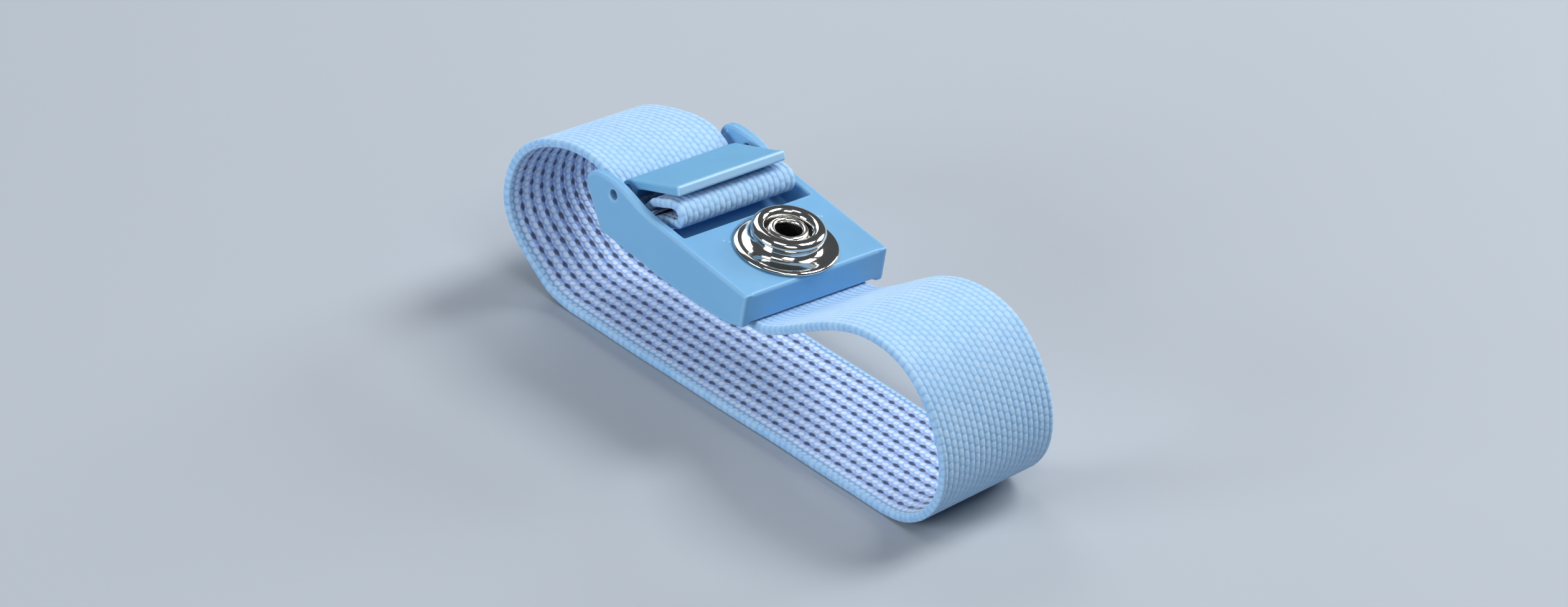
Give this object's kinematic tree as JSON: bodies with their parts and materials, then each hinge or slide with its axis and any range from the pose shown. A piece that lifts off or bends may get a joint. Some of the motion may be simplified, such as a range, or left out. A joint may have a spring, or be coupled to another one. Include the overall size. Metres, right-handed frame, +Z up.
{
  "type": "esd wrist strap",
  "caption": "Elastic conductive wristband lying as a closed loop, joined by a moulded buckle with a hinged cam clasp, a snap stud for a ground cord and a steel skin plate.",
  "frame": {"origin": "middle of the strap's footprint, on the surface that the band lies on", "axes": "+X along the loop from its clasp end to its fixed end, +Y across the band's width, +Z up"},
  "size_m": [0.0826, 0.0252, 0.0282],
  "materials": {
    "buckle_plastic": "moulded light blue plastic, satin",
    "clasp_plastic": "moulded light blue plastic, satin",
    "knitted_elastic": "light blue knitted elastic, plain outside, rows of dark conductive yarn inside",
    "nickel_plate": "bright nickel plate",
    "pin_steel": "drawn steel wire",
    "stainless_plate": "brushed stainless sheet"
  },
  "bodies": {
    "strap": {"buckle_body": "buckle_plastic", "lever_pin": "pin_steel", "strap_bar": "pin_steel", "elastic_band": "knitted_elastic", "snap_stud": "nickel_plate", "stud_rivet": "nickel_plate", "skin_contact_plate": "stainless_plate"},
    "lever": {"clasp_lever": "clasp_plastic"}
  },
  "joints": [
    {"name": "lever_hinge", "type": "hinge", "parent": "strap", "child": "lever", "pos_m": [-0.01999, 0.0006, 0.02237], "axis": [-0.0337, -0.995, 0.0939], "range_deg": [0, 80]}
  ]
}
